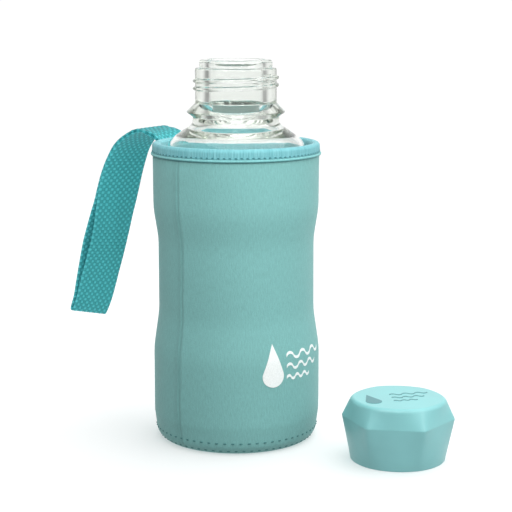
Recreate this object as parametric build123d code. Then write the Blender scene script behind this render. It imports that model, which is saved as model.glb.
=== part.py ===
from build123d import *
import math
import os

# A 0.5 litre borosilicate glass bottle in a waisted neoprene sleeve, with a webbing carrying
# loop sewn into the sleeve's rim and a screw lid that stands beside it on its open end.
# Millimetres, +Z up.  The origin is on the bottle's axis, on the surface it stands on.
# The strap hangs towards -X and the lid stands towards +X.

# ---- sleeve
NEOPRENE = 3.0
BAND_R = 40.0            # upper band
WAIST_R = 37.7           # grip waist
FOOT_R = 40.3            # lower body
FOOT_FLAT_R = 36.2       # where the rounded foot meets the table
BASE_DISC_R = 33.8
WAIST_LOW_Z = (44.6, 62.7)
WAIST_HIGH_Z = (98.4, 113.0)
SLEEVE_TOP_Z = 143.8
TAPE = 0.65              # binding tape
RIM_SEAM_Z = 139.7       # where the binding meets the welt
RIM_INSET = 0.4          # how far the neoprene is pressed in under the tape
WELT_HEIGHT = 1.4
WELT_PROUD = 0.9
WELT_ROUND = 0.65
THREAD_R = 0.3           # sewing thread
RIM_STITCH_Z = 140.4
FOOT_STITCH_UPPER = (39.48, 5.6)    # radius, height
FOOT_STITCH_LOWER = (37.65, 1.55)

# ---- glass
GLASS_GAP = 0.3          # clear of the sleeve all round
GLASS_FLOOR_Z = NEOPRENE
BODY_WALL = 1.9
TAPER_Z = 119.0          # where the body starts to draw in below the shoulder
SHOULDER_R = 34.8        # where it meets the shoulder's slope
SHOULDER_SLOPE = 34.5    # degrees below level
LOWER_NECK_R = 20.8
SHOULDER_TOP = (LOWER_NECK_R, 153.1)
COLLAR_R = 23.9
COLLAR_Z = 158.8
NECK_R = 19.55
NECK_Z = (163.0, 179.5)
LIP_R = 17.6
LIP_TOP_Z = 183.5
MOUTH_R = 13.1
MOUTH_FOOT_Z = 156.3
FLARE_AT = (21.0, 148.6)   # radius, height where the mouth's flare meets the inside of the shoulder
DOME_AT = (32.7, 145.5)    # corner of the rounded inside of the shoulder

# ---- neck thread, right-handed
PITCH = 3.65
CREST_R = 20.6
THREAD_TURNS = 1.65
THREAD_FOOT_Z = 169.4
THREAD_START = 175.0     # azimuth of its lower end, degrees

# ---- lid, standing on its open end
LID_AT = (86.6, 1.8)
LID_TURN = 21.4          # azimuth of one corner
LID_RIM_R = 22.1
LID_HEIGHT = 29.3
LID_WAIST_Z = 19.9       # height of the hexagon's edge
LID_CORNER_R = 26.3      # over the rounded corners
LID_CORNER_ROUND = 3.5
LID_TOP_WALL = 2.0
LINER_R = 21.5
LINER_Z = (1.0, 25.3)
LINER_CEILING_Z = 24.0
LINER_BORE_R = CREST_R + 0.25
LINER_CREST_R = NECK_R + 0.3
LINER_TURNS = 1.5
SEAL_R = (13.2, 18.4)
SEAL_THICK = 2.0
PLUG_R = (11.3, 12.7)
PLUG_FOOT_Z = 21.0

# ---- strap: webbing folded in half, with its two ends caught in the rim
WEBBING = 1.0
WEBBING_WIDTH = 25.0
ENDS_R = (37.6, 39.6)
ENDS_Z = (134.0, 145.4)
# x, z and half thickness of both layers together, from over the rim out to the bend
ENDS_LINE = [
    (-35.0, 144.6, 1.0),
    (-39.6, 146.2, 1.0),
    (-42.8, 147.4, 1.0),
    (-45.2, 148.0, 1.0),
]
HINGE_AT = (-47.6, 148.4)
FOLD_R = 1.1
# the same along the hanging loop, from the bend to the bottom
STRAP_LINE = [
    (-47.6, 148.4, 1.0),
    (-51.6, 147.0, 1.0),
    (-55.6, 144.2, 1.0),
    (-60.8, 138.9, 1.0),
    (-67.3, 125.6, 1.0),
    (-70.3, 117.0, 1.2),
    (-72.3, 111.2, 1.8),
    (-76.7, 96.8, 3.3),
    (-78.6, 89.7, 3.6),
    (-80.3, 82.3, 3.3),
    (-81.7, 75.0, 2.6),
    (-82.8, 67.6, 2.0),
    (-84.1, 60.2, 1.5),
    (-86.2, 53.3, 1.2),
]
GAP_POINTS = slice(5, 13)  # the stretch of the loop whose two layers stand apart

# ---- printed marks: a drop with three waves beside it
PRINT_THICK = 0.15
PRINT_AZIMUTH = -14.0
PRINT_Z = 42.0
LID_PRINT_SCALE = 0.72
LID_PRINT_TURN = 44.0


def turned(corners):
    """A solid of revolution about Z from (radius, height, rounding) corners in order."""
    points = [(r, 0, z) for r, z, _ in corners]
    outline = FilletPolyline(*points, radius=[rounding for _, _, rounding in corners], close=True)
    return revolve(make_face(outline), Axis.Z)


def ring(radius, height, thickness):
    """A round thread that runs once round the Z axis."""
    return Pos(0, 0, height) * Torus(radius, thickness)


def ridge(root_r, crest_r, turns, foot_z, start, depth=0.4):
    """A right-handed thread ridge about Z, wide at its root, narrow at its crest.
    The root is buried by depth on the side away from the crest."""
    inward = 1 if crest_r > root_r else -1
    buried = root_r - inward * depth
    path = Helix(pitch=PITCH, height=turns * PITCH, radius=buried, center=(0, 0, foot_z))
    reach = abs(crest_r - buried)
    section = Plane(origin=path @ 0, x_dir=(inward, 0, 0), z_dir=path % 0)
    outline = Polyline((0, -1.25), (reach - 0.25, -0.65), (reach, -0.4), (reach, 0.4),
                       (reach - 0.25, 0.65), (0, 1.25), close=True)
    return Rot(0, 0, start) * sweep(section * make_face(outline), path=path, is_frenet=True)


def side_profile(inset):
    """(radius, height, rounding) up the sleeve's side, moved in by inset."""
    low, high = WAIST_LOW_Z, WAIST_HIGH_Z
    return [
        (FOOT_R - inset, low[0], 40),
        (WAIST_R - inset, low[1], 40),
        (WAIST_R - inset, high[0], 40),
        (BAND_R - inset, high[1], 40),
    ]


def sleeve_foot():
    """Corners round the bottom edge of the sleeve's wall, from the base disc outwards."""
    return [
        (BASE_DISC_R, 0, 0),
        (FOOT_FLAT_R, 0, 1.5),
        (39.1, 3.2, 5),
        (FOOT_R, 13, 12),
    ]


def glass_shoulder(reach_r):
    """Height of the shoulder's sloping face at radius reach_r."""
    slope = math.radians(SHOULDER_SLOPE)
    return SHOULDER_TOP[1] - math.tan(slope) * (reach_r - SHOULDER_TOP[0])


def glass_bottle():
    outside = NEOPRENE + GLASS_GAP
    inside = outside + BODY_WALL
    outer = [
        (0, GLASS_FLOOR_Z + 2.5, 0),
        (25, GLASS_FLOOR_Z + 2.0, 4),
        (28.5, GLASS_FLOOR_Z, 1.5),
        (FOOT_R - outside, GLASS_FLOOR_Z, 8),
        *side_profile(outside),
        (BAND_R - outside, TAPER_Z, 25),
        (SHOULDER_R, glass_shoulder(SHOULDER_R), 15),
        (*SHOULDER_TOP, 3.0),
        (LOWER_NECK_R, 156.4, 0.8),
        (COLLAR_R, COLLAR_Z, 0.7),
        (NECK_R, NECK_Z[0], 0.8),
        (NECK_R, NECK_Z[1], 0.9),
        (LIP_R - 0.5, NECK_Z[1] + 0.3, 0.5),
        (LIP_R, NECK_Z[1] + 1.3, 0.8),
        (LIP_R, LIP_TOP_Z, 1.6),
    ]
    inner = [
        (MOUTH_R, LIP_TOP_Z, 1.2),
        (MOUTH_R, MOUTH_FOOT_Z, 0.8),
        (*FLARE_AT, 2.5),
        (*DOME_AT, 13.1),
        (BAND_R - inside, TAPER_Z, 25),
        *reversed(side_profile(inside)),
        (FOOT_R - inside, GLASS_FLOOR_Z + 5.5, 7),
        (0, GLASS_FLOOR_Z + 5.5, 0),
    ]
    thread = ridge(NECK_R, CREST_R, THREAD_TURNS, THREAD_FOOT_Z, THREAD_START)
    return turned(outer + inner) + thread


def sleeve_base():
    disc = Pos(0, 0, NEOPRENE / 2) * Cylinder(BASE_DISC_R, NEOPRENE)
    return disc


def strap_pocket():
    """The curved plate that the strap's two sewn ends fill inside the rim."""
    height = ENDS_Z[1] - ENDS_Z[0]
    shell = Cylinder(ENDS_R[1], height) - Cylinder(ENDS_R[0], height)
    slab = Pos(-BAND_R, 0, 0) * Box(BAND_R, WEBBING_WIDTH, height)
    return Pos(0, 0, (ENDS_Z[0] + ENDS_Z[1]) / 2) * (shell & slab)


def sleeve_wall():
    tucked = BAND_R - RIM_INSET
    inner_r = BAND_R - NEOPRENE
    corners = [
        *sleeve_foot(),
        *side_profile(0),
        (BAND_R, RIM_SEAM_Z, 0),
        (tucked, RIM_SEAM_Z, 0),
        (tucked, SLEEVE_TOP_Z, 1.2),
        (inner_r, SLEEVE_TOP_Z, 1.2),
        *reversed(side_profile(NEOPRENE)),
        (FOOT_R - NEOPRENE, NEOPRENE, 3),
        (BASE_DISC_R, NEOPRENE, 0),
    ]
    wall = turned(corners) - strap_pocket()
    for radius, height in (FOOT_STITCH_UPPER, FOOT_STITCH_LOWER):
        wall -= ring(radius, height, THREAD_R)
    return wall


def rim_binding():
    outer_r = BAND_R - RIM_INSET + TAPE
    inner_r = BAND_R - NEOPRENE - TAPE
    top_z = SLEEVE_TOP_Z + TAPE
    corners = [
        (BAND_R - RIM_INSET, RIM_SEAM_Z, 0),
        (outer_r, RIM_SEAM_Z, 0),
        (outer_r, top_z, 1.8),
        (inner_r, top_z, 1.8),
        (inner_r, RIM_SEAM_Z - 1, 0.25),
        (BAND_R - NEOPRENE, RIM_SEAM_Z - 1, 0.25),
        (BAND_R - NEOPRENE, SLEEVE_TOP_Z, 1.2),
        (BAND_R - RIM_INSET, SLEEVE_TOP_Z, 1.2),
    ]
    return turned(corners) - strap_pocket() - ring(outer_r, RIM_STITCH_Z, THREAD_R)


def rim_welt():
    return turned([
        (BAND_R, RIM_SEAM_Z - WELT_HEIGHT, 0),
        (BAND_R + WELT_PROUD, RIM_SEAM_Z - WELT_HEIGHT, WELT_ROUND),
        (BAND_R + WELT_PROUD, RIM_SEAM_Z, WELT_ROUND),
        (BAND_R, RIM_SEAM_Z, 0),
    ])


def strap_side(points, sign, skin=0.0):
    """The loop's points on one side, sign +1 outwards or -1 towards the bottle."""
    out = []
    for i, (x, z, half) in enumerate(points):
        before = points[max(i - 1, 0)]
        after = points[min(i + 1, len(points) - 1)]
        run = Vector(after[0] - before[0], 0, after[1] - before[1]).normalized()
        across = Vector(run.Z, 0, -run.X) * sign * (half - skin)
        out.append(Vector(x, 0, z) + across)
    return out


def band_face(points, skin=0.0):
    """A face in the XZ plane along points, as wide as their half thickness less skin."""
    near = strap_side(points, -1, skin)
    far = strap_side(points, 1, skin)
    run = (Vector(points[-1][0] - points[-2][0], 0, points[-1][1] - points[-2][1])).normalized()
    tip = (near[-1] + far[-1]) * 0.5 + run * (points[-1][2] - skin)
    head = Line(far[0], near[0])
    return make_face([head, Spline(*near), ThreePointArc(near[-1], tip, far[-1]), Spline(*far[::-1])])


def strap_band(points, skin=0.0, width=WEBBING_WIDTH):
    """The webbing along points, as thick as their half thickness less skin on each side."""
    return extrude(band_face(points, skin), width / 2, dir=(0, 1, 0), both=True)


def strap_sewn_ends():
    """Both ends of the webbing: down inside the rim, and out over it as far as the bend."""
    inside = Pos(0, 0, ENDS_Z[1]) * Cylinder(ENDS_R[0], 20)
    return strap_pocket() + (strap_band(ENDS_LINE) - inside)


def strap_loop():
    fold = Pos(HINGE_AT[0], 0, HINGE_AT[1]) * Rot(90, 0, 0) * Cylinder(FOLD_R, WEBBING_WIDTH)
    gap = strap_band(STRAP_LINE[GAP_POINTS], WEBBING, 2 * WEBBING_WIDTH)
    return strap_band(STRAP_LINE) + fold - gap


def wave(width, thickness, humps=3):
    """A wavy bar, as a flat face centred on the origin."""
    step = width / humps / 2
    rise = step * 0.32
    edges = []
    for level, order in ((thickness / 2, 1), (-thickness / 2, -1)):
        for k in range(2 * humps)[::order]:
            left = -width / 2 + k * step
            ends = [(left, level), (left + step, level)][::order]
            middle = (left + step / 2, level + (rise if k % 2 == 0 else -rise))
            edges.append(ThreePointArc(ends[0], middle, ends[1]))
    half = thickness / 2
    edges.insert(2 * humps, Line((width / 2, half), (width / 2, -half)))
    edges.append(Line((-width / 2, -half), (-width / 2, half)))
    return make_face(edges)


def mark():
    """The generic mark: a drop and three waves, drawn in the XY plane."""
    drop_r = 5.2
    tip = (0, 15.5)
    lean = math.asin(drop_r / tip[1])
    touch = (drop_r * math.cos(lean), drop_r * math.sin(lean))
    drop = make_face([
        Line(tip, touch),
        ThreePointArc(touch, (0, -drop_r), (-touch[0], touch[1])),
        Line((-touch[0], touch[1]), tip),
    ])
    faces = [Pos(-13.5, -4.5, 0) * drop]
    for row, width in enumerate((26.0, 22.0, 16.0)):
        faces.append(Pos(-6.5 + width / 2, 4.5 - row * 5.2, 0) * wave(width, 1.3))
    return faces


def sleeve_print():
    """The mark laid on the sleeve: what a prism of it cuts from a thin skin over the sleeve."""
    foot = sleeve_foot()[-1]
    axis_side = [(10, 13, 0), (10, 80, 0)]
    skins = [turned([axis_side[0], (foot[0] + t, 13, 0), *[(r + t, z, c) for r, z, c in side_profile(0)[:2]],
                     (WAIST_R + t, 80, 0), axis_side[1]]) for t in (0, PRINT_THICK)]
    skin = skins[1] - skins[0]
    pieces = []
    for face in mark():
        stands = Rot(0, 0, 90) * Rot(90, 0, 0) * face
        prism = extrude(stands, 60, dir=(1, 0, 0))
        pieces.append(skin & (Rot(0, 0, PRINT_AZIMUTH) * Pos(0, 0, PRINT_Z) * prism))
    return Compound(pieces)


def lid_hexagon(height):
    """The lid's rounded hexagon, as six flats and six corner arcs."""
    sharp = LID_CORNER_R + LID_CORNER_ROUND * (1 / math.cos(math.radians(30)) - 1)
    back = LID_CORNER_ROUND * math.tan(math.radians(30))
    corner = [(sharp - back / 2, side * back * math.sin(math.radians(60))) for side in (-1, 1)]
    return section_of(corner, LID_CORNER_R, height)


def lid_circle(radius, height):
    """A circle split where the hexagon's flats and corner arcs meet."""
    spread = math.radians(3.8)
    corner = [(radius * math.cos(spread), side * radius * math.sin(spread)) for side in (-1, 1)]
    return section_of(corner, radius, height, radius)


def section_of(corner, corner_r, height, flat_r=None):
    """Six corner arcs joined by six flats, or by arcs of flat_r."""
    edges = []
    for k in range(6):
        turn = Rot(0, 0, 60 * k)
        follow = Rot(0, 0, 60 * (k + 1))
        start, end = [(turn * Pos(x, y, height)).position for x, y in corner]
        middle = (turn * Pos(corner_r, 0, height)).position
        onward = (follow * Pos(corner[0][0], corner[0][1], height)).position
        edges.append(ThreePointArc(start, middle, end))
        if flat_r is None:
            edges.append(Line(end, onward))
        else:
            between = (Rot(0, 0, 60 * k + 30) * Pos(flat_r, 0, height)).position
            edges.append(ThreePointArc(end, between, onward))
    return make_face(edges)


def lid_shell():
    waist = lid_hexagon(LID_WAIST_Z)
    skirt = loft([lid_circle(LID_RIM_R, 0), waist], ruled=True)
    crown = loft([waist, lid_circle(LID_RIM_R, LID_HEIGHT)], ruled=True)
    solid = skirt + crown
    top_edges = solid.edges().filter_by_position(Axis.Z, LID_HEIGHT - 0.01, LID_HEIGHT + 0.01)
    solid = fillet(top_edges, 1.5)
    foot, ceiling = LINER_Z[0], LID_HEIGHT - LID_TOP_WALL
    room = Pos(0, 0, (foot + ceiling) / 2) * Cylinder(LINER_R, ceiling - foot)
    rim = Pos(0, 0, foot / 2) * Cylinder(LINER_R - 0.6, foot)
    return placed_lid(solid - room - rim)


def lid_liner():
    cup = turned([
        (0, LINER_CEILING_Z, 0),
        (PLUG_R[0], LINER_CEILING_Z, 0.5),
        (PLUG_R[0], PLUG_FOOT_Z, 0.4),
        (PLUG_R[1], PLUG_FOOT_Z, 0.4),
        (PLUG_R[1], LINER_CEILING_Z, 0),
        (LINER_BORE_R, LINER_CEILING_Z, 0),
        (LINER_BORE_R, LINER_Z[0], 0),
        (LINER_R, LINER_Z[0], 0),
        (LINER_R, LINER_Z[1], 1.0),
        (0, LINER_Z[1], 0),
    ])
    thread = ridge(LINER_BORE_R, LINER_CREST_R, LINER_TURNS, 6.5, 40.0)
    return placed_lid(cup + thread)


def lid_seal():
    foot = LINER_CEILING_Z - SEAL_THICK
    return placed_lid(turned([
        (SEAL_R[0], foot, 0.3),
        (SEAL_R[1], foot, 0.5),
        (SEAL_R[1], LINER_CEILING_Z, 0),
        (SEAL_R[0], LINER_CEILING_Z, 0),
    ]))


def lid_print():
    pieces = [extrude(Pos(0, 0, LID_HEIGHT) * scale(face, LID_PRINT_SCALE), PRINT_THICK) for face in mark()]
    turn = Rot(0, 0, LID_PRINT_TURN - LID_TURN)
    return placed_lid(Compound([turn * piece for piece in pieces]))


def placed_lid(part):
    return Pos(LID_AT[0], LID_AT[1], 0) * Rot(0, 0, LID_TURN) * part


NODES = {
    "glass_bottle": glass_bottle,
    "sleeve_wall": sleeve_wall,
    "sleeve_base": sleeve_base,
    "rim_binding": rim_binding,
    "rim_welt": rim_welt,
    "rim_stitching": lambda: ring(BAND_R - RIM_INSET + TAPE, RIM_STITCH_Z, THREAD_R),
    "base_stitching_upper": lambda: ring(*FOOT_STITCH_UPPER, THREAD_R),
    "base_stitching_lower": lambda: ring(*FOOT_STITCH_LOWER, THREAD_R),
    "strap_sewn_ends": strap_sewn_ends,
    "strap_loop": strap_loop,
    "sleeve_print": sleeve_print,
    "lid_shell": lid_shell,
    "lid_liner": lid_liner,
    "lid_seal": lid_seal,
    "lid_print": lid_print,
}

os.makedirs("parts", exist_ok=True)
for name, make in NODES.items():
    export_step(make(), f"parts/{name}.step")
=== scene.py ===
import math

import bpy
import numpy as np
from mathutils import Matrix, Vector


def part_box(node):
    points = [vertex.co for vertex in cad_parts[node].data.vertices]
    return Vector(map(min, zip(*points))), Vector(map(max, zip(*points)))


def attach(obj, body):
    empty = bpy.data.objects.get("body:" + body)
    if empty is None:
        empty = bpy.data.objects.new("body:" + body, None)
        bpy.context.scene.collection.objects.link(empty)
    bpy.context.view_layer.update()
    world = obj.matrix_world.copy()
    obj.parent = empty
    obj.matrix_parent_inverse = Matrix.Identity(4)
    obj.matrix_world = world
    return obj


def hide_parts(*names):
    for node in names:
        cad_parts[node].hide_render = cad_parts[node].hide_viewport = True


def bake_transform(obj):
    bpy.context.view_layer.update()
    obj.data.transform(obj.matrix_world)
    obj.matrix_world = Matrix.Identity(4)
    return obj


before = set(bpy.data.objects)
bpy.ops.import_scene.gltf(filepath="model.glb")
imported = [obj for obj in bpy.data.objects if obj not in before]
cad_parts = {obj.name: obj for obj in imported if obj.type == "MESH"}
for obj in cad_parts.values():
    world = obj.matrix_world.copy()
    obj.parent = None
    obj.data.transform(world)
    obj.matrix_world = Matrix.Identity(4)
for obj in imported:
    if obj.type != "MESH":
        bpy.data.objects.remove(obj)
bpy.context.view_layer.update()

MM = 0.001
rng = np.random.default_rng(7)

# ---- driving dimensions, millimetres, as in the CAD model
NEOPRENE = 3.0
BAND_R, WAIST_R, FOOT_R = 40.0, 37.7, 40.3
FOOT_FLAT_R, BASE_DISC_R = 36.2, 33.8
SIDE_Z = (44.6, 62.7, 98.4, 113.0)
SLEEVE_TOP_Z = 143.8
TAPE = 0.65
RIM_SEAM_Z = 139.7
RIM_INSET = 0.4
WELT_HEIGHT, WELT_PROUD, WELT_ROUND = 1.4, 0.9, 0.65
RIM_STITCH_Z = 140.4
FOOT_STITCH_UPPER = (39.48, 5.6)
FOOT_STITCH_LOWER = (37.65, 1.55)
GLASS_GAP = 0.3
BODY_WALL = 1.9
TAPER_Z, SHOULDER_R = 119.0, 34.8
SHOULDER_SLOPE = math.radians(34.5)
LOWER_NECK_R, COLLAR_R, COLLAR_Z = 20.8, 23.9, 158.8
SHOULDER_TOP = (LOWER_NECK_R, 153.1)
NECK_R, NECK_FOOT_Z, NECK_TOP_Z = 19.55, 163.0, 179.5
LIP_R, LIP_TOP_Z = 17.6, 183.5
MOUTH_R, MOUTH_FOOT_Z = 13.1, 156.3
FLARE_AT, DOME_AT = (21.0, 148.6), (32.7, 145.5)
PITCH, CREST_R, THREAD_TURNS = 3.65, 20.6, 1.65
THREAD_FOOT_Z, THREAD_START = 169.4, math.radians(175)
LID_RIM_R, LID_WAIST_Z, LID_APOTHEM = 22.1, 19.9, 23.25
LID_ROOM_R, LID_TOP_WALL = 21.5, 2.0
LID_TURN = math.radians(21.4)
WEBBING_WIDTH, WEBBING = 25.0, 1.0

# ---- what only the looks need
THREAD_ZONE = (166, 179)             # heights between which the thread stands out of the neck
RIM_STITCHES, FOOT_STITCHES = 94, 64
TAPE_RIBS = 186
SLEEVE_COLOUR = (0.185, 0.425, 0.412)
SEAM_AZIMUTH = math.radians(259.3)     # the sleeve's side seam
VIEW_YAW = math.radians(30)            # the camera looks along +Y turned by this


# ------------------------------------------------------------------ outlines and meshes
def unit(v):
    """The vector at length 1."""
    return v / np.linalg.norm(v)


def corner_arc(before, here, after, rounding, steps=None, arc_step=None):
    """Points that round the corner at here, in so many steps or one to each arc_step."""
    u, v = unit(before - here), unit(after - here)
    opening = math.acos(max(-1.0, min(1.0, float(u @ v))))
    if rounding <= 0 or opening > math.pi - 1e-3:
        return [here]
    reach = rounding / math.tan(opening / 2)
    centre = here + unit(u + v) * rounding / math.sin(opening / 2)
    start, end = here + u * reach - centre, here + v * reach - centre
    a0, a1 = math.atan2(start[1], start[0]), math.atan2(end[1], end[0])
    turn = (a1 - a0 + math.pi) % (2 * math.pi) - math.pi
    steps = steps or max(2, int(abs(turn) / arc_step) + 1)
    angles = [a0 + turn * k / steps for k in range(steps + 1)]
    return [centre + rounding * np.array([math.cos(a), math.sin(a)]) for a in angles]


def rounded(corners, arc_step=math.radians(10), run_step=4.0):
    """Points round a closed outline of (radius, height, rounding) corners, roundings as arcs."""
    places = [np.array(corner[:2], float) for corner in corners]
    points = []
    for i, here in enumerate(places):
        after = places[(i + 1) % len(places)]
        points += corner_arc(places[i - 1], here, after, corners[i][2], arc_step=arc_step)
    return divided(points, run_step)


def divided(points, step):
    """The outline with its long runs divided, so that relief and shading have points to act on."""
    out = []
    for i, p in enumerate(points):
        q = points[(i + 1) % len(points)]
        n = max(1, int(np.linalg.norm(q - p) / step))
        out += [p + (q - p) * k / n for k in range(n)]
    return np.array(out)


def mesh_piece(name, points, faces, material, uv=None):
    """A smooth mesh object from points in millimetres."""
    mesh = bpy.data.meshes.new(name)
    faces = faces.tolist() if isinstance(faces, np.ndarray) else faces
    mesh.from_pydata((np.asarray(points, float) * MM).tolist(), [], faces)
    if uv is not None:
        layer = mesh.uv_layers.new(name="UVMap")
        layer.data.foreach_set("uv", np.asarray(uv, np.float32).ravel())
    mesh.validate()
    mesh.polygons.foreach_set("use_smooth", [True] * len(mesh.polygons))
    mesh.materials.append(material)
    piece = bpy.data.objects.new(name, mesh)
    bpy.context.scene.collection.objects.link(piece)
    return piece


def grid_faces(rows, columns, close_rows=False):
    """Quads over a rows by columns grid of points, closed from the last column to the first."""
    i, j = np.meshgrid(np.arange(rows if close_rows else rows - 1), np.arange(columns), indexing="ij")
    a = i * columns + j
    b = i * columns + (j + 1) % columns
    c = (i + 1) % rows * columns + (j + 1) % columns
    d = (i + 1) % rows * columns + j
    return np.stack([a, b, c, d], -1).reshape(-1, 4)


def grid_uv(rows, columns, u, v):
    """UVs in millimetres for closed grid_faces: u over columns + 1 values, v over rows + 1."""
    i, j = np.meshgrid(np.arange(rows), np.arange(columns), indexing="ij")
    corners = [(i, j), (i, j + 1), (i + 1, j + 1), (i + 1, j)]
    return np.stack([np.stack([u[b], v[a]], -1) for a, b in corners], 2).reshape(-1, 2)


def capped_faces(rows, columns):
    """grid_faces with a fan to a pole at each end. The poles are the last two points."""
    faces = grid_faces(rows, columns).tolist()
    pole, top = rows * columns, (rows - 1) * columns
    for j in range(columns):
        k = (j + 1) % columns
        faces.append([pole, k, j])
        faces.append([pole + 1, top + j, top + k])
    return faces


def turned_points(outline, segments, relief):
    """The outline turned about Z, as rows of points. relief(angle, radius, height) moves it out."""
    theta, r = np.meshgrid(np.linspace(0, 2 * math.pi, segments, endpoint=False), outline[:, 0])
    z = np.repeat(outline[:, 1:], segments, 1)
    if relief is not None:
        r = r + relief(theta, r, z)
    return np.stack([r * np.cos(theta), r * np.sin(theta), z], -1).reshape(-1, 3)


def lathe(name, outline, material, segments, relief):
    """A closed outline turned about Z, with UVs in millimetres of cloth."""
    along = np.linalg.norm(np.diff(np.vstack([outline, outline[:1]]), axis=0), axis=1)
    v = np.concatenate([[0], np.cumsum(along)])
    u = np.append(np.linspace(0, 2 * math.pi, segments, endpoint=False), 2 * math.pi) * BAND_R
    rows = len(outline)
    points = turned_points(outline, segments, relief)
    return mesh_piece(name, points, grid_faces(rows, segments, close_rows=True), material,
                      grid_uv(rows, segments, u, v))


def capped_lathe(name, outline, material, segments, relief=None):
    """As lathe, for an outline whose first and last points lie on the axis."""
    poles = [[0, 0, outline[0, 1]], [0, 0, outline[-1, 1]]]
    points = np.vstack([turned_points(outline[1:-1], segments, relief), poles])
    return mesh_piece(name, points, capped_faces(len(outline) - 2, segments), material)


# ------------------------------------------------------------------ materials
class Shader:
    """A node material, built up by short calls."""

    def __init__(self, name, **sockets):
        self.material = bpy.data.materials.new(name)
        self.material.use_nodes = True
        self.nodes = self.material.node_tree.nodes
        self.links = self.material.node_tree.links
        self.base = self.nodes["Principled BSDF"]
        for socket, value in sockets.items():
            self.base.inputs[socket.replace("_", " ")].default_value = value

    @classmethod
    def of(cls, material):
        """Carry on with a material made before."""
        made = cls.__new__(cls)
        made.material = material
        made.nodes, made.links = material.node_tree.nodes, material.node_tree.links
        made.base = made.nodes["Principled BSDF"]
        return made

    def node(self, kind, operation=None, **inputs):
        """A new node. Its inputs are given by name, or as i0, i1 and so on by number."""
        made = self.nodes.new(kind)
        if operation is not None:
            made.operation = operation
        for key, value in inputs.items():
            socket = made.inputs[int(key[1:])] if key[0] == "i" and key[1:].isdigit() else made.inputs[key]
            if isinstance(value, bpy.types.NodeSocket):
                self.links.new(value, socket)
            else:
                socket.default_value = value
        return made

    def math(self, operation, a, b=0.0, c=0.0):
        """The result of a Math node."""
        return self.node("ShaderNodeMath", operation, i0=a, i1=b, i2=c).outputs[0]

    def place(self, kind="UV", scale=(1, 1, 1), turn=0.0):
        """A coordinate: UV in millimetres, or Object in metres."""
        source = self.nodes.new("ShaderNodeTexCoord").outputs[kind]
        made = self.node("ShaderNodeMapping", Vector=source, Scale=scale)
        made.inputs["Rotation"].default_value = (0, 0, turn)
        return made.outputs[0]

    def noise(self, vector, scale, detail=3.0, rough=0.5):
        """Noise from 0 to 1, mostly close to 0.5."""
        made = self.node("ShaderNodeTexNoise", Vector=vector, Scale=scale, Detail=detail, Roughness=rough)
        return made.outputs["Fac"]

    def spread(self, value, low, high, to_low=0.0, to_high=1.0):
        """The value mapped from low..high to to_low..to_high, and held at the ends."""
        made = self.nodes.new("ShaderNodeMapRange")
        for socket, number in zip(range(1, 5), (low, high, to_low, to_high)):
            made.inputs[socket].default_value = number
        self.links.new(value, made.inputs[0])
        return made.outputs[0]

    def blend(self, factor, a, b):
        """A colour between a and b."""
        made = self.nodes.new("ShaderNodeMix")
        made.data_type = "RGBA"
        for socket, value in ((0, factor), (6, a), (7, b)):
            if isinstance(value, bpy.types.NodeSocket):
                self.links.new(value, made.inputs[socket])
            else:
                made.inputs[socket].default_value = (*value, 1) if socket else value
        return made.outputs[2]

    def feed(self, socket, value):
        """Connect the value to the named input of the surface."""
        self.links.new(value, self.base.inputs[socket])

    def bump(self, height, distance, strength=1.0):
        """Bump of so many metres, on top of any bump given before."""
        made = self.node("ShaderNodeBump", Height=height, Distance=distance, Strength=strength)
        before = self.base.inputs["Normal"].links
        if before:
            self.links.new(before[0].from_socket, made.inputs["Normal"])
        self.feed("Normal", made.outputs[0])


def glass_material():
    """Clear glass with faint waves and a slight green tint."""
    s = Shader("clear_glass", Base_Color=(0.975, 0.99, 0.98, 1), Roughness=0.0, IOR=1.47)
    s.base.inputs["Transmission Weight"].default_value = 1.0
    waves = s.noise(s.place("Object"), 55.0, 2.0)
    s.bump(waves, 0.00012)
    tint = s.node("ShaderNodeVolumeAbsorption")
    tint.inputs["Color"].default_value = (0.62, 0.70, 0.56, 1)
    tint.inputs["Density"].default_value = 16.0
    s.links.new(tint.outputs[0], s.nodes["Material Output"].inputs["Volume"])
    return s.material


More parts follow.
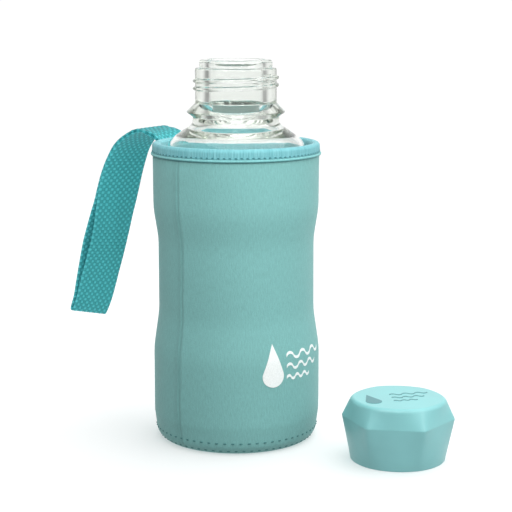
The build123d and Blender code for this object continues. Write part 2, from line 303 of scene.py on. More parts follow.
def neoprene_material(name, colour, seam=None, lining_and_shade=None):
    """Knit-faced neoprene. In millimetres of cloth, seam is how far round a side seam runs, drawn as a
    dark line with a band of painted shade beside it, and the last argument is how far up and over the
    inside turns a darker grey, partly the cloth's grey inner face and partly painted shade."""
    s = Shader(name, Roughness=0.75)
    s.base.inputs["Sheen Weight"].default_value = 0.25
    s.base.inputs["Sheen Roughness"].default_value = 0.45
    s.base.inputs["Sheen Tint"].default_value = (0.75, 0.95, 0.95, 1)
    s.base.inputs["Specular IOR Level"].default_value = 0.25
    wales = s.noise(s.place(scale=(1.0, 0.22, 1)), 1.5, 3.0, 0.65)
    fine = s.noise(s.place(scale=(1.0, 0.4, 1)), 3.4, 2.0)
    broad = s.noise(s.place(), 0.035, 2.0)
    shade = s.math("ADD", s.math("MULTIPLY", wales, 0.62), s.math("MULTIPLY", fine, 0.38))
    shade = s.spread(shade, 0.33, 0.67)
    dark = tuple(c * 0.86 for c in colour)
    light = tuple(min(1, c * 1.12) for c in colour)
    tone = s.blend(shade, dark, light)
    patch = s.spread(broad, 0.3, 0.7, 0.0, 0.10)
    tone = s.blend(patch, tone, tuple(c * 0.8 for c in colour))
    if seam is not None:
        along = s.node("ShaderNodeSeparateXYZ", Vector=s.place()).outputs["X"]
        off = s.math("ADD", s.math("SUBTRACT", along, seam), s.math("MULTIPLY", fine, 0.5))
        # painted shade at the side seam: a thin dark line, partly the join's own darkness and partly shade
        # in its groove, and a softer band of shade beside it on the ridge's flank
        crease_shade = s.spread(s.math("ABSOLUTE", s.math("SUBTRACT", off, 0.25)), 0.15, 0.95, 0.32, 0.0)
        fold = s.spread(s.math("ABSOLUTE", s.math("ADD", off, 1.6)), 0.0, 3.2, 0.16, 0.0)
        tone = s.blend(s.math("MAXIMUM", crease_shade, fold), tone, tuple(c * 0.35 for c in colour))
    if lining_and_shade is not None:
        over = s.node("ShaderNodeSeparateXYZ", Vector=s.place()).outputs["Y"]
        # the inside turns a darker grey: partly the cloth's grey inner face, partly painted shade, since
        # the glass casts no shadow on it
        tone = s.blend(s.spread(over, lining_and_shade - 0.5, lining_and_shade + 0.5), tone, (0.20, 0.285, 0.27))
    s.feed("Base Color", tone)
    s.feed("Roughness", s.spread(fine, 0.2, 0.8, 0.66, 0.84))
    s.bump(shade, 0.00009)
    return s.material


def piping_material(colour, crease_shade):
    """Neoprene whose lower edge is painted darker, as painted shade where the welt meets the sleeve."""
    material = neoprene_material("neoprene_welt", colour)
    s = Shader.of(material)
    place = s.nodes.new("ShaderNodeTexCoord").outputs["Object"]
    height = s.node("ShaderNodeSeparateXYZ", Vector=place).outputs["Z"]
    low = (RIM_SEAM_Z - WELT_HEIGHT) * MM
    # painted shade: darkest at the welt's foot and gone 0.7 mm above it
    underside_shade = s.spread(height, low + 0.0001, low + 0.0007, 1.0, 0.0)
    before = s.base.inputs["Base Color"].links[0].from_socket
    s.feed("Base Color", s.blend(underside_shade, before, crease_shade))
    return material


def tape_material():
    """Knitted binding tape with fine ribs."""
    s = Shader("knit_tape", Roughness=0.65)
    s.base.inputs["Sheen Weight"].default_value = 0.35
    s.base.inputs["Sheen Roughness"].default_value = 0.4
    s.base.inputs["Sheen Tint"].default_value = (0.7, 0.95, 1.0, 1)
    s.base.inputs["Specular IOR Level"].default_value = 0.3
    ribs = s.noise(s.place(scale=(1.0, 0.08, 1)), 1.3, 2.0)
    yarn = s.noise(s.place(), 4.5, 2.0)
    shade = s.spread(s.math("ADD", s.math("MULTIPLY", ribs, 0.7), s.math("MULTIPLY", yarn, 0.3)), 0.3, 0.7)
    s.feed("Base Color", s.blend(shade, (0.11, 0.35, 0.385), (0.20, 0.49, 0.53)))
    s.feed("Roughness", s.spread(yarn, 0.2, 0.8, 0.55, 0.8))
    s.bump(shade, 0.0001)
    return s.material


def thread_material(name, colour):
    """Twisted sewing thread."""
    s = Shader(name, Roughness=0.6)
    s.base.inputs["Sheen Weight"].default_value = 0.2
    twist = s.noise(s.place("Object"), 2600.0, 1.0)
    s.feed("Base Color", s.blend(twist, tuple(c * 0.75 for c in colour), tuple(c * 1.25 for c in colour)))
    s.bump(twist, 0.00006)
    return s.material


def webbing_material():
    """Woven webbing, coloured by the weave attribute: painted highlight on the yarns' tops and painted
    shade between them.
    """
    s = Shader("woven_webbing", Roughness=0.5)
    s.base.inputs["Specular IOR Level"].default_value = 0.25
    height = s.nodes.new("ShaderNodeAttribute")
    height.attribute_name = "weave"
    lift = s.spread(height.outputs["Fac"], 0.0, 1.0)
    filaments = s.noise(s.place(scale=(6.0, 0.5, 1)), 1.6, 2.0)
    # painted highlight on the yarns' tops and painted shade between them, from the weave attribute
    tone = s.blend(lift, (0.004, 0.19, 0.21), (0.14, 0.72, 0.77))
    worn = s.spread(filaments, 0.3, 0.7, 0.0, 0.25)
    s.feed("Base Color", s.blend(worn, tone, (0.05, 0.50, 0.54)))
    s.feed("Roughness", s.spread(filaments, 0.2, 0.8, 0.42, 0.7))
    s.bump(filaments, 0.00005)
    return s.material


def plastic_material(name, colour, roughness, grain=0.00002, grain_scale=2400.0):
    """Moulded plastic with a fine grain, so deep in metres."""
    s = Shader(name, Roughness=roughness)
    s.base.inputs["Specular IOR Level"].default_value = 0.4
    grain_noise = s.noise(s.place("Object"), grain_scale, 2.0)
    broad = s.noise(s.place("Object"), 60.0, 3.0)
    s.feed("Base Color", s.blend(s.spread(broad, 0.3, 0.7), tuple(c * 0.96 for c in colour),
                                 tuple(min(1, c * 1.04) for c in colour)))
    s.feed("Roughness", s.spread(broad, 0.2, 0.8, roughness - 0.04, roughness + 0.06))
    s.bump(grain_noise, grain)
    return s.material


def print_material(name, colour, roughness):
    """A thin, slightly uneven layer of ink."""
    s = Shader(name, Roughness=roughness)
    speckle = s.noise(s.place("Object"), 1800.0, 2.0)
    s.feed("Base Color", s.blend(s.spread(speckle, 0.35, 0.65), tuple(c * 0.9 for c in colour), colour))
    s.feed("Roughness", s.spread(speckle, 0.2, 0.8, roughness - 0.08, roughness + 0.08))
    s.bump(speckle, 0.00002)
    return s.material


# ------------------------------------------------------------------ the glass bottle
def side_profile(inset):
    """(radius, height, rounding) up the sleeve's side, moved in by inset."""
    radii = (FOOT_R, WAIST_R, WAIST_R, BAND_R)
    return [(r - inset, z, 40) for r, z in zip(radii, SIDE_Z)]


def shoulder_height(reach_r):
    """Height of the shoulder's slope at radius reach_r."""
    return SHOULDER_TOP[1] - math.tan(SHOULDER_SLOPE) * (reach_r - SHOULDER_TOP[0])


def thread_relief(theta, r, z):
    """How far the moulded thread stands out of the neck."""
    height = np.zeros_like(r)
    outside = r > NECK_R - 0.5
    for turn in range(3):
        along = (theta - THREAD_START) % (2 * math.pi) + 2 * math.pi * turn
        middle = THREAD_FOOT_Z + PITCH * along / (2 * math.pi)
        off = np.abs(z - middle)
        ridge = np.clip(1.2 - off, 0, 0.75) / 0.75
        ridge = ridge * ridge * (3 - 2 * ridge)
        left = THREAD_TURNS * 2 * math.pi - along
        fade = np.clip(np.minimum(along, left) / math.radians(22), 0, 1)
        height = np.maximum(height, ridge * np.sqrt(fade) * (CREST_R - NECK_R))
    return np.where(outside & (z > THREAD_ZONE[0]) & (z < THREAD_ZONE[1]), height, 0)


def finer_at_thread(coarse):
    """The glass outline with short steps where the thread stands out of the neck."""
    fine = []
    for a, b in zip(coarse[:-1], coarse[1:]):
        on_thread = a[0] > NECK_R - 0.1 and THREAD_ZONE[0] < (a[1] + b[1]) / 2 < THREAD_ZONE[1]
        n = max(1, int(np.linalg.norm(b - a) / 0.2)) if on_thread else 1
        fine += [a + (b - a) * k / n for k in range(n)]
    return np.array(fine + [coarse[-1]])


def glass_bottle():
    """The whole glass body, from the floor's underside up the outside and back down the inside."""
    outside = NEOPRENE + GLASS_GAP
    inside = outside + BODY_WALL
    floor = NEOPRENE
    corners = [
        (0, floor + 2.5, 0),
        (25, floor + 2.0, 4),
        (28.5, floor, 1.5),
        (FOOT_R - outside, floor, 8),
        *side_profile(outside),
        (BAND_R - outside, TAPER_Z, 25),
        (SHOULDER_R, shoulder_height(SHOULDER_R), 15),
        (*SHOULDER_TOP, 3.0),
        (LOWER_NECK_R, 156.4, 0.8),
        (COLLAR_R, COLLAR_Z, 0.7),
        (NECK_R, NECK_FOOT_Z, 0.8),
        (NECK_R, NECK_TOP_Z, 0.9),
        (LIP_R - 0.5, NECK_TOP_Z + 0.3, 0.5),
        (LIP_R, NECK_TOP_Z + 1.3, 0.8),
        (LIP_R, LIP_TOP_Z, 1.6),
        (MOUTH_R, LIP_TOP_Z, 1.2),
        (MOUTH_R, MOUTH_FOOT_Z, 0.8),
        (*FLARE_AT, 2.5),
        (*DOME_AT, 13.1),
        (BAND_R - inside, TAPER_Z, 25),
        *reversed(side_profile(inside)),
        (FOOT_R - inside, floor + 5.5, 7),
        (0, floor + 5.5, 0),
    ]
    outline = finer_at_thread(rounded(corners, math.radians(9), 3.0))
    piece = capped_lathe("bottle_glass", outline, glass_material(), 360, thread_relief)
    piece.visible_shadow = False    # light reaches the cloth behind it as if it were not there
    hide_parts("glass_bottle")
    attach(piece, "bottle")


# ------------------------------------------------------------------ the sleeve
def seam_relief(theta, r, z):
    """The side seam's soft ridge with its thin groove, and the slight lie of the cloth."""
    apart = (theta - SEAM_AZIMUTH + math.pi) % (2 * math.pi) - math.pi
    wander = 0.35 * np.sin(z / 9.0) + 0.2 * np.sin(z / 3.7 + 1)
    arc = apart * BAND_R + wander
    outer = r > 35.6
    lift = 0.9 * np.exp(-np.abs(arc) / 4.5) - 0.5 * np.exp(-((arc - 0.1) / 0.6) ** 2)
    lie = 0.10 * np.sin(2 * theta + z / 31.0) + 0.07 * np.sin(3 * theta - z / 23.0 + 1.3)
    ends = np.clip((z - 8) / 12, 0, 1) * np.clip((RIM_SEAM_Z - 2 - z) / 6, 0, 1)
    return np.where(outer, (lift + lie) * ends, 0)


def sleeve_wall():
    """The neoprene wall, from the base disc's seam to the rim and back down the inside."""
    tucked = BAND_R - RIM_INSET
    inner_r = BAND_R - NEOPRENE
    corners = [
        (BASE_DISC_R, 0, 0),
        (FOOT_FLAT_R, 0, 1.5),
        (39.1, 3.2, 5),
        (FOOT_R, 13, 12),
        *side_profile(0),
        (BAND_R, RIM_SEAM_Z, 0),
        (tucked, RIM_SEAM_Z, 0),
        (tucked, SLEEVE_TOP_Z, 1.2),
        (inner_r, SLEEVE_TOP_Z, 1.2),
        *reversed(side_profile(NEOPRENE)),
        (FOOT_R - NEOPRENE, NEOPRENE, 3),
        (BASE_DISC_R, NEOPRENE, 0),
    ]
    outline = rounded(corners, math.radians(9), 2.0)
    # from 2 mm past the rim's top, over and down the inside, the cloth turns a darker grey: its grey inner
    # face with painted shade
    rise = outline[:np.argmax(outline[:, 1]) + 1]
    lining_and_shade = np.linalg.norm(np.diff(rise, axis=0), axis=1).sum() + 2.0
    material = neoprene_material("neoprene_cloth", SLEEVE_COLOUR, SEAM_AZIMUTH * BAND_R, lining_and_shade)
    piece = lathe("sleeve_cloth", outline, material, 540, seam_relief)
    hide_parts("sleeve_wall")
    return piece


def sleeve_base(material):
    """The disc that closes the sleeve's foot."""
    corners = [(0, 0, 0), (BASE_DISC_R, 0, 0.6), (BASE_DISC_R, NEOPRENE, 0.6), (0, NEOPRENE, 0)]
    piece = capped_lathe("sleeve_base_disc", rounded(corners, math.radians(15), 2.0), material, 240)
    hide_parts("sleeve_base")
    return piece


def rib_relief(theta, r, z):
    """Ribs of the binding tape, and its dimples at the stitches."""
    outside = r > BAND_R - RIM_INSET + 0.05
    ribs = 0.07 * np.cos(theta * TAPE_RIBS)
    dimples = np.cos(theta * RIM_STITCHES) * 0.10 * np.exp(-((z - RIM_STITCH_Z) / 0.9) ** 2)
    return np.where(outside, ribs + dimples - 0.08, 0)


def rim_binding():
    """The knitted tape folded over the rim."""
    outer_r = BAND_R - RIM_INSET + TAPE
    inner_r = BAND_R - NEOPRENE - TAPE
    top_z = SLEEVE_TOP_Z + TAPE
    corners = [
        (BAND_R - RIM_INSET, RIM_SEAM_Z, 0),
        (outer_r, RIM_SEAM_Z, 0.3),
        (outer_r, top_z, 1.8),
        (inner_r, top_z, 1.8),
        (inner_r, RIM_SEAM_Z - 1, 0.25),
        (BAND_R - NEOPRENE, RIM_SEAM_Z - 1, 0.25),
        (BAND_R - NEOPRENE, SLEEVE_TOP_Z, 1.2),
        (BAND_R - RIM_INSET, SLEEVE_TOP_Z, 1.2),
    ]
    piece = lathe("rim_tape", rounded(corners, math.radians(10), 0.6), tape_material(), 1116, rib_relief)
    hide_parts("rim_binding")
    return piece


def rim_welt(material):
    """The raised welt under the binding, pulled in a little between the stitches."""
    inner_r, outer_r = BAND_R - 0.3, BAND_R + WELT_PROUD
    low_z, high_z = RIM_SEAM_Z - WELT_HEIGHT, RIM_SEAM_Z
    corners = [
        (inner_r, low_z, 0),
        (outer_r, low_z, WELT_ROUND),
        (outer_r, high_z, WELT_ROUND),
        (inner_r, high_z, 0),
    ]

    def pulled(theta, r, z):
        return np.where(r > BAND_R, 0.05 * np.cos(theta * RIM_STITCHES) - 0.05, 0)

    piece = lathe("rim_piping", rounded(corners, math.radians(14), 0.5), material, 564, pulled)
    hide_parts("rim_welt")
    return piece


def stitches(name, node, count, radius, height, length, thick, material, phase=0.0):
    """A row of separate stitches round the sleeve, each one a bent bead of thread."""
    rise = 0.15
    around, rings = 8, 9
    points, faces = [], []
    for k in range(count):
        middle = 2 * math.pi * (k + phase) / count
        jitter = rng.normal(0, 0.05, 2)
        base = len(points)
        for i in range(rings):
            t = i / (rings - 1) * 2 - 1
            a = middle + t * length / 2 / radius
            fat = thick * math.sqrt(max(0.02, 1 - t ** 4))
            r = radius + rise * (1 - t * t) - thick * 0.55
            z = height + jitter[0] * thick + t * jitter[1] * thick * 2
            for j in range(around):
                b = 2 * math.pi * j / around
                rr = r + fat * math.cos(b)
                points.append([rr * math.cos(a), rr * math.sin(a), z + fat * math.sin(b)])
        for i in range(rings - 1):
            for j in range(around):
                p, q = base + i * around + j, base + i * around + (j + 1) % around
                faces.append([p, q, q + around, p + around])
        faces.append([base + j for j in range(around)][::-1])
        faces.append([base + (rings - 1) * around + j for j in range(around)])
    piece = mesh_piece(name, points, faces, material)
    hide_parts(node)
    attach(piece, "sleeve")


def sleeve():
    """Everything that is sewn to the sleeve, apart from the strap."""
    cloth = neoprene_material("neoprene_base", SLEEVE_COLOUR)
    # the second colour is painted shade along the welt's lower edge
    welt_cloth = piping_material((0.18, 0.46, 0.46), (0.02, 0.15, 0.17))
    wall = sleeve_wall()
    base = sleeve_base(cloth)
    tape = rim_binding()
    piping = rim_welt(welt_cloth)
    rim_thread = thread_material("seam_thread", (0.02, 0.17, 0.19))
    foot_thread = thread_material("foot_thread", (0.03, 0.16, 0.16))
    outer_r = BAND_R - RIM_INSET + TAPE
    stitches("rim_stitches", "rim_stitching", RIM_STITCHES, outer_r - 0.1, RIM_STITCH_Z, 1.5, 0.32,
             rim_thread, 0.5)
    stitches("foot_stitches_upper", "base_stitching_upper", FOOT_STITCHES, *FOOT_STITCH_UPPER, 1.7, 0.36,
             foot_thread)
    stitches("foot_stitches_lower", "base_stitching_lower", FOOT_STITCHES, *FOOT_STITCH_LOWER, 1.7, 0.36,
             foot_thread, 0.4)
    for piece in (wall, base, tape, piping):
        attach(piece, "sleeve")


# ------------------------------------------------------------------ the strap
# Middle of the webbing's inner layer from the bend to the bottom of the loop, with how far the
# webbing turns about the vertical and dips at its far edge, in degrees, and the gap behind it.
STRAP_LINE = [
    ((-48.9, 0.0, 147.9), 0, 0, 0.0),
    ((-55.2, 0.0, 143.9), 5, 4, 0.0),
    ((-60.4, 0.0, 138.6), 10, 6, 0.0),
    ((-64.0, 0.3, 132.2), 15, 5, 0.0),
    ((-66.9, 0.6, 125.4), 18, 5, 0.1),
    ((-69.2, 0.8, 118.2), 19, 5, 0.4),
    ((-71.0, 0.8, 111.0), 18, 4, 1.2),
    ((-72.7, 0.7, 103.7), 15, 4, 2.8),
    ((-74.3, 0.5, 96.3), 13, 5, 4.0),
    ((-76.0, 0.0, 89.0), 12, 7, 4.5),
    ((-77.9, -0.6, 81.7), 12, 9, 4.0),
    ((-79.8, -1.4, 74.5), 12, 10, 3.0),
    ((-81.5, -2.4, 67.2), 12, 11, 2.1),
    ((-83.2, -3.5, 59.9), 11, 13, 1.2),
    ((-85.2, -4.8, 53.4), 9, 14, 0.7),
]
STRAP_ROOT_R = 38.6      # the rim's curve that the sewn ends follow
STRAP_ROOT = [(-38.6, 134.0), (-38.6, 139.5), (-38.7, 143.2), (-40.2, 145.6), (-43.6, 147.3)]


def strap_path():
    """(middle, direction across, how far it follows the rim's curve) along the webbing."""
    half = WEBBING / 2
    middles, across, gaps = [], [], []
    for middle, turn, dip, gap in STRAP_LINE:
        a, d = math.radians(90 - turn), math.radians(dip)
        middles.append(np.array(middle))
        across.append(np.array([math.cos(a) * math.cos(d), math.sin(a) * math.cos(d), -math.sin(d)]))
        gaps.append(gap)
    y = np.array([0.0, 1.0, 0.0])
    last = len(middles) - 1
    inner, outer = [], []
    for i, (x, z) in enumerate(STRAP_ROOT):
        before = STRAP_ROOT[max(i - 1, 0)]
        after = STRAP_ROOT[min(i + 1, len(STRAP_ROOT) - 1)]
        along = unit(np.array([after[0] - before[0], 0, after[1] - before[1]]))
        off = np.cross(y, along) * half * (1 if i else 0.98)
        follow = (1, 1, 1, 0.8, 0.4)[i]
        inner.append((np.array([x, 0, z]) + off, y, follow))
        outer.append((np.array([x, 0, z]) - off, y, follow))
    for i in range(last + 1):
        along = unit(middles[min(i + 1, last)] - middles[max(i - 1, 0)])
        outward = unit(np.cross(across[i], along))
        inner.append((middles[i], across[i], 0.15 if i == 0 else 0.0))
        outer.append((middles[i] + (gaps[i] + 2 * half) * outward, across[i], 0.15 if i == 0 else 0.0))
    span = gaps[last] + 2 * half
    fold = []
    for a in (45, 90, 135):
        a = math.radians(a)
        step = outward * span * (0.5 - 0.5 * math.cos(a)) + along * span * 0.6 * math.sin(a)
        fold.append((middles[last] + step, across[last], 0.0))
    return inner + fold + outer[::-1]


def smooth_line(values, count):
    """A smooth curve through values, by centripetal Catmull-Rom, with even spacing."""
    p = np.array(values, float)
    d = np.linalg.norm(np.diff(p[:, :3], axis=0), axis=1) ** 0.5
    t = np.concatenate([[0], np.cumsum(d)])
    slopes = np.zeros_like(p)
    for i in range(1, len(p) - 1):
        before, after = (p[i] - p[i - 1]) / d[i - 1], (p[i + 1] - p[i]) / d[i]
        slopes[i] = (before * d[i] + after * d[i - 1]) / (d[i] + d[i - 1])
    slopes[0], slopes[-1] = (p[1] - p[0]) / d[0], (p[-1] - p[-2]) / d[-1]

    def at(s):
        k = np.clip(np.searchsorted(t, s, side="right") - 1, 0, len(d) - 1)
        h = d[k][:, None]
        x = ((s - t[k]) / d[k])[:, None]
        return ((2 * x ** 3 - 3 * x ** 2 + 1) * p[k] + (x ** 3 - 2 * x ** 2 + x) * h * slopes[k]
                + (-2 * x ** 3 + 3 * x ** 2) * p[k + 1] + (x ** 3 - x ** 2) * h * slopes[k + 1])

    s = np.linspace(0, t[-1], 4000)
    q = at(s)
    length = np.concatenate([[0], np.cumsum(np.linalg.norm(np.diff(q[:, :3], axis=0), axis=1))])
    return at(np.interp(np.linspace(0, length[-1], count), length, s)), length[-1]


def strap_rows(rows):
    """Middle, directions across and outward, and curl of the webbing, row by row, and its length."""
    values = [np.concatenate([middle, across, [curl]]) for middle, across, curl in strap_path()]
    line, length = smooth_line(values, rows)
    middle, across, curl = line[:, :3], line[:, 3:6], line[:, 6]
    along = np.gradient(middle, axis=0)
    along /= np.linalg.norm(along, axis=1)[:, None]
    across = across - (across * along).sum(1)[:, None] * along
    across /= np.linalg.norm(across, axis=1)[:, None]
    return middle, across, np.cross(across, along), curl, length


def woven_relief(x, s):
    """Half thickness of the webbing and its painted weave shading, x across it and s along it."""
    weft, warp = 1.62, 1.79
    cell = np.sin(math.pi * x[None] / warp) * np.sin(math.pi * s[:, None] / weft)
    bulge = np.abs(cell) ** 0.55
    height = np.where(cell > 0, 0.24 * bulge, 0.10 * bulge)
    # painted weave shading: light on top of each yarn, dark in the gaps between yarns
    tone = np.where(cell > 0, 0.5 + 0.5 * bulge, 0.1 + 0.4 * bulge)
    edge = np.clip((WEBBING_WIDTH / 2 - np.abs(x)) / 0.9, 0, 1)
    thick = (WEBBING / 2 - 0.12) * np.sqrt(np.clip(1 - (1 - edge) ** 2, 0, 1))
    return thick[None] + height * np.clip(edge, 0.25, 1)[None], tone


def strap():
    """The woven webbing, folded into its loop, with the weave as real relief."""
    rows, columns = 640, 66
    middle, across, outward, curl, length = strap_rows(rows)
    x = np.linspace(-WEBBING_WIDTH / 2, WEBBING_WIDTH / 2, columns)
    s = np.linspace(0, length, rows)
    thick, tone = woven_relief(x, s)
    curve = curl[:, None] * (x[None] ** 2) / (2 * STRAP_ROOT_R)
    sides = []
    for side in (1, -1):
        off = side * thick
        p = middle[:, None] + across[:, None] * x[None, :, None] + outward[:, None] * off[..., None]
        p[..., 0] += curve
        sides.append(p)
    ring = np.concatenate([sides[0], sides[1][:, ::-1]], 1)
    weave_shade_ring = np.concatenate([tone, tone[:, ::-1]], 1)
    count = ring.shape[1]
    faces = grid_faces(rows, count).tolist()
    faces.append(list(range(count))[::-1])
    faces.append([(rows - 1) * count + j for j in range(count)])
    piece = mesh_piece("strap_webbing", ring.reshape(-1, 3), faces, webbing_material())
    mesh = piece.data
    u = np.concatenate([x, x[::-1] + 40])
    corner = np.zeros(len(mesh.loops), np.int32)
    mesh.loops.foreach_get("vertex_index", corner)
    uv = np.stack([u[corner % count], s[corner // count]], -1)
    mesh.uv_layers.new(name="UVMap").data.foreach_set("uv", uv.astype(np.float32).ravel())
    # the weave attribute holds the painted weave shading
    weave = mesh.attributes.new("weave", "FLOAT", "POINT")
    weave.data.foreach_set("value", weave_shade_ring.astype(np.float32).ravel())
    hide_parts("strap_loop", "strap_sewn_ends")
    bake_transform(piece)
    return piece


# ------------------------------------------------------------------ the lid
def lid_shell():
    """The lid's cap: a hexagon at the waist that runs out into a circle at the rim and the top."""
    low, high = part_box("lid_shell")
    centre = ((low.x + high.x) / 2 / MM, (low.y + high.y) / 2 / MM)
    height = high.z / MM
    segments = 360
    flats = [math.radians(60 * k + 30) + LID_TURN for k in range(6)]
    sharp = 34.0             # the higher, the sharper the hexagon's corners
    angle = np.linspace(0, 2 * math.pi, segments, endpoint=False)
    power = sum(np.clip(np.cos(angle - f), 0, 1) ** sharp for f in flats)
    hexagon = LID_APOTHEM * power ** (-1 / sharp)
    outlines = []
    for h in hexagon:
        outlines.append(lid_outline([
            (0, height, 0),
            (LID_RIM_R - 0.2, height, 2.2),
            (h, LID_WAIST_Z, 0.9),
            (LID_RIM_R, 0, 0.5),
            (LID_ROOM_R - 0.6, 0, 0.3),
            (LID_ROOM_R - 0.6, 1.0, 0),
            (LID_ROOM_R, 1.0, 0),
            (LID_ROOM_R, height - LID_TOP_WALL, 0.8),
            (0, height - LID_TOP_WALL, 0),
        ]))
    r, z = np.moveaxis(np.stack(outlines, 1)[1:-1], -1, 0)
    body = np.stack([centre[0] + r * np.cos(angle), centre[1] + r * np.sin(angle), z], -1)
    points = np.vstack([body.reshape(-1, 3), [*centre, height], [*centre, height - LID_TOP_WALL]])
    faces = [face[::-1] for face in capped_faces(len(body), segments)]
    piece = mesh_piece("lid_cap", points, faces, plastic_material("lid_satin", (0.22, 0.52, 0.53), 0.36))
    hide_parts("lid_shell")
    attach(piece, "lid")


def lid_outline(corners):
    """A lid section with the same number of points at every angle."""
    arcs = {1: 10, 2: 6, 3: 4, 4: 3, 7: 5}      # steps in each rounded corner
    places = [np.array(corner[:2], float) for corner in corners]
    out = []
    for i, here in enumerate(places):
        if i not in arcs:
            out.append(here)
            continue
        out += corner_arc(places[i - 1], here, places[i + 1], corners[i][2], steps=arcs[i])
        if i in (1, 2):                         # the two long runs of the side
            out += [out[-1] + (places[i + 1] - out[-1]) * k / 6 for k in range(1, 5)]
    return np.array(out)


def paint_cad_nodes():
    """Materials for the CAD parts that are shown as they are."""
    finishes = {
        "lid_liner": plastic_material("liner_plastic", (0.78, 0.80, 0.78), 0.42),
        "lid_seal": plastic_material("seal_silicone", (0.72, 0.76, 0.76), 0.5, 0.00003, 1500.0),
        "sleeve_print": print_material("print_white", (0.86, 0.90, 0.89), 0.55),
        "lid_print": print_material("print_grey", (0.10, 0.26, 0.28), 0.5),
    }
    for node, material in finishes.items():
        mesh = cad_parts[node].data
        mesh.materials.clear()
        mesh.materials.append(material)


# ------------------------------------------------------------------ stage
def floor():
    """A round table top that ends where the backdrop takes over."""
    count, radius, ahead = 128, 0.55, 0.37
    angles = [2 * math.pi * k / count for k in range(count)]
    rim = [from_camera(radius * math.cos(a), ahead + radius * math.sin(a), 0) for a in angles]
    mesh = bpy.data.meshes.new("floor")
    mesh.from_pydata(rim, [], [list(range(count))])
    s = Shader("pale_floor", Base_Color=(0.93, 0.93, 0.93, 1), Roughness=0.6)
    s.base.inputs["Specular IOR Level"].default_value = 0.0
    mesh.materials.append(s.material)
    piece = bpy.data.objects.new("floor", mesh)
    piece.visible_diffuse = False
    bpy.context.scene.collection.objects.link(piece)
    return piece


def from_camera(right, ahead, up):
    """A point given from the bottle's axis as the camera sees it, in metres."""
    c, s = math.cos(VIEW_YAW), math.sin(VIEW_YAW)
    return Vector((right * c - ahead * s, right * s + ahead * c, up))


def softbox(name, place, aim, size, power):
    """A rectangular light at place that faces aim."""
    light = bpy.data.lights.new(name, "AREA")
    light.shape = "RECTANGLE"
    light.size, light.size_y = size
    light.energy = power
    lamp = bpy.data.objects.new(name, light)
    lamp.location = place
    lamp.rotation_mode = "QUATERNION"
    lamp.rotation_quaternion = (aim - place).to_track_quat("-Z", "Y")
    bpy.context.scene.collection.objects.link(lamp)
    return lamp


def sun(name, toward, angle, strength):
    """A broad, distant light that shines from the direction toward."""
    light = bpy.data.lights.new(name, "SUN")
    light.angle = math.radians(angle)
    light.energy = strength
    lamp = bpy.data.objects.new(name, light)
    lamp.rotation_mode = "QUATERNION"
    lamp.rotation_quaternion = (-toward).to_track_quat("-Z", "Y")
    bpy.context.scene.collection.objects.link(lamp)
    return lamp


def surroundings():
    """White to the camera. Otherwise bright ahead, weaker to the upper right and below, and dim
    elsewhere."""
    world = bpy.data.worlds.new("studio")
    bpy.context.scene.world = world
    world.use_nodes = True
    nodes, links = world.node_tree.nodes, world.node_tree.links
    direction = nodes.new("ShaderNodeTexCoord").outputs["Generated"]

    def toward(vector, low, high, dim, bright):
        """Strength that rises from dim to bright as the ray turns toward the vector."""
        dot = nodes.new("ShaderNodeVectorMath")
        dot.operation = "DOT_PRODUCT"
        links.new(direction, dot.inputs[0])
        dot.inputs[1].default_value = vector
        span = nodes.new("ShaderNodeMapRange")
        span.interpolation_type = "SMOOTHSTEP"
        for socket, value in zip(range(1, 5), (low, high, dim, bright)):
            span.inputs[socket].default_value = value
        links.new(dot.outputs["Value"], span.inputs[0])
        return span.outputs[0]

    level = nodes.new("ShaderNodeLightPath").outputs["Is Camera Ray"]
    for part in (toward(from_camera(0, 1, 0), 0.50, 0.94, 0.27, 1.04),
                 toward(from_camera(0.8, 0, 0.6), 0.3, 0.95, 0.27, 0.6),
                 toward((0, 0, -1), -0.05, 0.25, 0.27, 0.58)):
        brighter = nodes.new("ShaderNodeMath")
        brighter.operation = "MAXIMUM"
        links.new(level, brighter.inputs[0])
        links.new(part, brighter.inputs[1])
        level = brighter.outputs[0]
    links.new(level, nodes["Background"].inputs["Strength"])
    nodes["Background"].inputs["Color"].default_value = (1, 1, 1, 1)


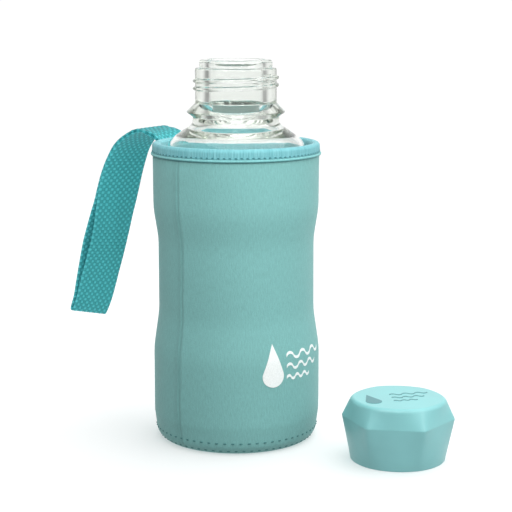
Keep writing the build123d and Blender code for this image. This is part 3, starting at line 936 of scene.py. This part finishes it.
def link_light(lamps, pieces, state):
    """Make the lamps light only these pieces (INCLUDE), or everything but them (EXCLUDE)."""
    group = bpy.data.collections.new(lamps[0].name + "_" + state.lower())
    for piece in pieces:
        group.objects.link(piece)
    for member in group.collection_objects:
        member.light_linking.link_state = state
    for lamp in lamps:
        lamp.light_linking.receiver_collection = group


def studio(webbing):
    """The lights and what each leaves out. The floor and the strap have lights of their own."""
    ground = floor()
    surroundings()
    top = from_camera(0, 0, 0.14)
    overhead = sun("overhead", from_camera(0.2, 0.1, 1.0), 75, 1.2)
    table_light = sun("table_light", from_camera(0, 0, 1), 20, 1.35)
    table_light.data.use_shadow = False
    front = softbox("front", from_camera(-0.03, -0.24, 0.36), top, (0.30, 0.20), 0.84)
    strap_light = softbox("strap_light", from_camera(-0.12, -0.42, 0.06), from_camera(-0.07, 0, 0.1),
                          (0.2, 0.2), 0.8)
    sides = [
        softbox("key", from_camera(0.42, -0.24, 0.38), top, (0.30, 0.42), 1.4),
        softbox("strip", from_camera(0.24, -0.60, 0.42), top, (0.035, 0.45), 0.5),
        softbox("strip_left", from_camera(-0.30, -0.60, 0.42), top, (0.06, 0.45), 0.35),
    ]
    link_light([overhead], [webbing], "EXCLUDE")
    link_light([front], [ground, webbing], "EXCLUDE")
    link_light(sides, [ground], "EXCLUDE")
    link_light([strap_light], [webbing], "INCLUDE")
    link_light([table_light], [ground], "INCLUDE")
    bpy.context.scene.view_settings.view_transform = "Standard"
    # light that runs along inside the glass wall needs more turns than Cycles' default to get out
    cycles = bpy.context.scene.cycles
    cycles.max_bounces = cycles.transmission_bounces = cycles.glossy_bounces = 32


def camera():
    """A long lens that looks down at the bottle at a slight angle."""
    data = bpy.data.cameras.new("camera")
    data.sensor_width = 36
    data.lens = 102.7
    data.clip_start, data.clip_end = 0.05, 50
    cam = bpy.data.objects.new("camera", data)
    cam.location = from_camera(0.0096, -0.700, 0.212)
    pitch = math.radians(10.0)
    cam.rotation_euler = (math.pi / 2 - pitch, 0, VIEW_YAW)
    bpy.context.scene.collection.objects.link(cam)
    bpy.context.scene.camera = cam


camera()
glass_bottle()
sleeve()
studio(strap())
lid_shell()
paint_cad_nodes()

bpy.context.view_layer.update()
